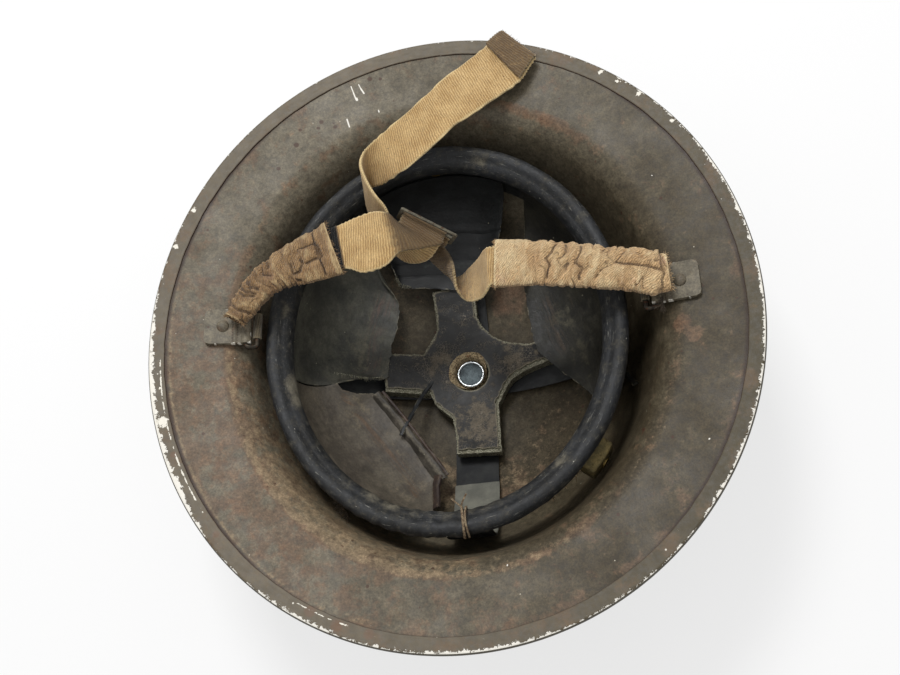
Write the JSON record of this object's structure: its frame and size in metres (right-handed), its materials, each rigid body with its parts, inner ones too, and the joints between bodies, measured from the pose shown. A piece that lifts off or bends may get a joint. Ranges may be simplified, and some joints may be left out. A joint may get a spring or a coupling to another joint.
{
  "type": "military helmet",
  "caption": "Shallow wide-brimmed steel helmet, crown down, with rim band, oilcloth liner on a strap frame, crown pad, rubber buffers and a webbing chinstrap on hinged wire loops.",
  "frame": {"origin": "middle of the outer face of the crown screw's head, the lowest point of the helmet as it lies crown down", "axes": "+Z from the crown up out of the bowl, +Y to the back of the helmet (its longer way across the rim), +X to the lug at the right of the picture"},
  "size_m": [0.2912, 0.3052, 0.1143],
  "materials": {
    "helmet_paint": "worn matt olive-brown paint with rust freckles",
    "dark_wire": "darkened metal",
    "dull_steel": "dull",
    "bright_zinc": "bright zinc plating",
    "fibre": "dark stiffened fibre board",
    "felt": "dirty grey-green felt",
    "oilcloth": "cracked black oilcloth with a worn satin surface",
    "brass": "tarnished",
    "rubber": "perished olive-brown rubber",
    "thread": "dirty linen thread",
    "sleeve_cloth": "gathered cotton tape, faded tan",
    "webbing": "ribbed cotton webbing, faded tan"
  },
  "bodies": {
    "helmet": {"shell": "helmet_paint", "rim_band": "helmet_paint", "lug_left": "helmet_paint", "lug_right": "helmet_paint", "lug_rivets": "helmet_paint", "crown_screw": "helmet_paint", "crown_washer": "dull_steel", "crown_nut": "bright_zinc", "frame_strap_long": "fibre", "frame_strap_cross": "fibre", "crown_pad": "felt", "crown_pad_cover": "oilcloth", "headband": "fibre", "headband_lining": "oilcloth", "headband_roll": "oilcloth", "frame_rivets": "brass", "tongue_back": "oilcloth", "tongue_left": "oilcloth", "tongue_front_left": "oilcloth", "tongue_right": "oilcloth", "buffers": "rubber", "buffer_rivets": "brass", "tie_thread": "thread"},
    "chinstrap": {"sleeve_left": "sleeve_cloth", "sleeve_right": "sleeve_cloth", "springs_left": "dull_steel", "springs_right": "dull_steel", "webbing_long": "webbing", "webbing_short": "webbing", "buckle": "dark_wire"},
    "loop_left": {"wire_loop_left": "dark_wire", "strap_tab_left": "webbing"},
    "loop_right": {"wire_loop_right": "dark_wire", "strap_tab_right": "webbing"}
  },
  "joints": [
    {"name": "chinstrap_swing", "type": "hinge", "parent": "helmet", "child": "chinstrap", "pos_m": [0, 0.0065, 0.104], "axis": [1, 0, 0], "range_deg": [0, 170], "deforming": ["sleeve_left", "sleeve_right", "springs_left", "springs_right"]},
    {"name": "loop_left_hinge", "type": "hinge", "parent": "helmet", "child": "loop_left", "pos_m": [-0.09929, 0.0065, 0.09965], "axis": [0, -1, 0], "range_deg": [0, 120]},
    {"name": "loop_right_hinge", "type": "hinge", "parent": "helmet", "child": "loop_right", "pos_m": [0.09929, 0.0065, 0.09965], "axis": [0, 1, 0], "range_deg": [0, 120]}
  ]
}
